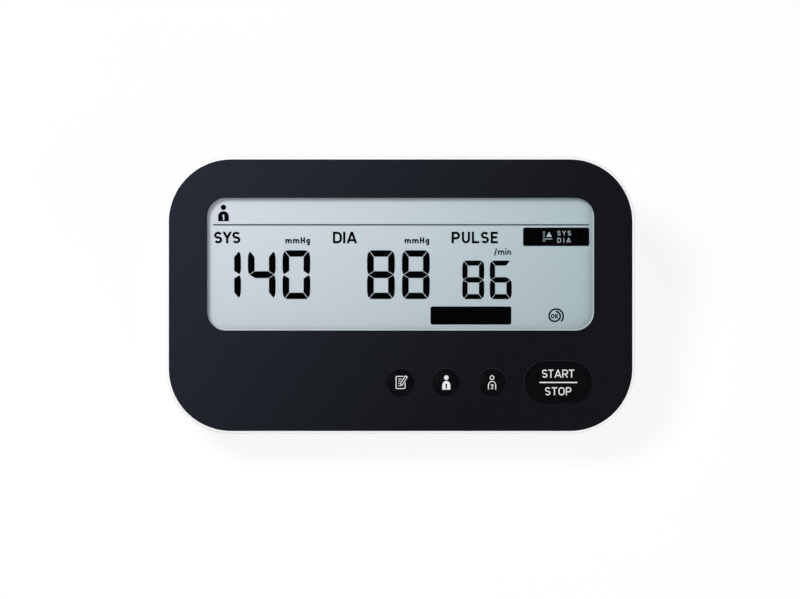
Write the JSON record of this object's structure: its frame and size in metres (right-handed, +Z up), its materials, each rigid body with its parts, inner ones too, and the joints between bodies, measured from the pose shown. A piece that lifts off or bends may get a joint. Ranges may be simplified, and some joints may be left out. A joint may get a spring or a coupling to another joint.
{
  "type": "upper arm blood pressure monitor",
  "caption": "Wedge-shaped desk-top blood pressure monitor with a wide tilted display, round keys, a start key, an air socket, a pump, an exhaust valve and a battery bay.",
  "frame": {"origin": "on the table under the middle of the case: the centre of the bottom of the bounding box", "axes": "+X to the user's right along the case's width, +Y away from the user, +Z up; the face leans back towards the user by 20 degrees about X"},
  "size_m": [0.177, 0.1048, 0.0614],
  "materials": {
    "white_shell": "satin moulded white",
    "white_base": "fine moulded texture, white",
    "dark_panel": "satin, navy black",
    "dark_key": "glossy black",
    "clear_lens": "clear, polished",
    "display_glass": "reflective liquid crystal, grey blue",
    "display_reflector": "satin film",
    "display_frame": "moulded, natural",
    "black_foam": "closed-cell foam",
    "grey_silicone": "matt silicone",
    "zebra_rubber": "striped conductive rubber",
    "carbon": "matt carbon",
    "foot_rubber": "matt grey rubber",
    "circuit_board": "green solder mask",
    "gold": "gold plate",
    "chip": "moulded epoxy with tinned legs",
    "steel": "zinc plated",
    "spring_steel": "nickel plated wire",
    "capacitor": "dark sleeve",
    "black_plastic": "moulded black",
    "grey_plastic": "moulded grey blue",
    "natural_nylon": "moulded, natural",
    "hose_silicone": "milky silicone",
    "pump_rubber": "matt black rubber",
    "magnet": "sintered ferrite",
    "bronze": "sintered bronze",
    "copper_wire": "enamelled copper winding",
    "battery_label": "printed sleeve, steel ends",
    "wire_insulation": "red and black insulation"
  },
  "bodies": {
    "case": {"front_panel": "dark_panel", "display_lens": "clear_lens", "upper_shell": "white_shell", "lower_shell": "white_base", "feet": "foot_rubber", "case_screws": "steel", "air_jack": "natural_nylon", "air_jack_ring": "grey_plastic", "dc_jack": "black_plastic", "dc_jack_pin": "spring_steel", "display_gasket": "black_foam", "lcd_glass": "display_glass", "lcd_reflector": "display_reflector", "lcd_holder": "display_frame", "lcd_contact_strip": "zebra_rubber", "key_mat": "grey_silicone", "main_board": "circuit_board", "board_screws": "steel", "key_contacts": "gold", "microcontroller": "chip", "radio_module": "steel", "pressure_sensor": "black_plastic", "buzzer": "black_plastic", "board_capacitors": "capacitor", "board_headers": "natural_nylon", "manifold": "natural_nylon", "air_hoses": "hose_silicone", "pump_motor_can": "steel", "pump_motor_cap": "black_plastic", "pump_magnets": "magnet", "pump_bushes": "bronze", "pump_case": "natural_nylon", "pump_diaphragm": "pump_rubber", "pump_valve_plate": "natural_nylon", "pump_flaps": "pump_rubber", "pump_head": "natural_nylon", "pump_screws": "steel", "pump_grommets": "pump_rubber", "valve_frame": "steel", "valve_coil": "copper_wire", "valve_cap": "natural_nylon", "valve_spring": "spring_steel", "battery_cells": "battery_label", "battery_springs": "spring_steel", "battery_plates": "spring_steel", "wiring": "wire_insulation"},
    "key_memory": {"button_memory": "dark_key", "pill_memory": "carbon"},
    "key_user_1": {"button_user_1": "dark_key", "pill_user_1": "carbon"},
    "key_user_2": {"button_user_2": "dark_key", "pill_user_2": "carbon"},
    "key_start_stop": {"button_start_stop": "dark_key", "pill_start_stop": "carbon"},
    "cover": {"battery_cover": "white_base", "cover_latch": "white_base"},
    "rotor": {"pump_rotor": "copper_wire", "pump_crank": "natural_nylon"},
    "wobble": {"wobble_plate": "natural_nylon"},
    "plunger": {"valve_plunger": "steel"}
  },
  "joints": [
    {"name": "press_memory", "type": "slide", "parent": "case", "child": "key_memory", "axis": [0, 0.342, -0.9397], "range_m": [0, 0.0008], "stiffness_N_per_m": 2000, "deforming": ["key_mat"]},
    {"name": "press_user_1", "type": "slide", "parent": "case", "child": "key_user_1", "axis": [0, 0.342, -0.9397], "range_m": [0, 0.0008], "stiffness_N_per_m": 2000, "deforming": ["key_mat"]},
    {"name": "press_user_2", "type": "slide", "parent": "case", "child": "key_user_2", "axis": [0, 0.342, -0.9397], "range_m": [0, 0.0008], "stiffness_N_per_m": 2000, "deforming": ["key_mat"]},
    {"name": "press_start_stop", "type": "slide", "parent": "case", "child": "key_start_stop", "axis": [0, 0.342, -0.9397], "range_m": [0, 0.0008], "stiffness_N_per_m": 2000, "deforming": ["key_mat"]},
    {"name": "cover_hinge", "type": "hinge", "parent": "case", "child": "cover", "pos_m": [0.03575, 0.04083, 0.00295], "axis": [1, 0, 0], "range_deg": [0, 75]},
    {"name": "rotor_spin", "type": "hinge", "parent": "case", "child": "rotor", "pos_m": [-0.0283, 0.03023, 0.0186], "axis": [-1, 0, 0], "continuous": true},
    {"name": "wobble_spin", "type": "hinge", "parent": "rotor", "child": "wobble", "pos_m": [-0.0385, 0.03023, 0.0186], "axis": [-0.9781, 0, 0.2079], "continuous": true, "deforming": ["pump_diaphragm"]},
    {"name": "valve_stroke", "type": "slide", "parent": "case", "child": "plunger", "axis": [-1, 0, 0], "range_m": [0, 0.0006], "stiffness_N_per_m": 300, "deforming": ["valve_spring"]}
  ],
  "couplings": [
    {"joint": "wobble_spin", "follows": "rotor_spin", "ratio": -1}
  ]
}
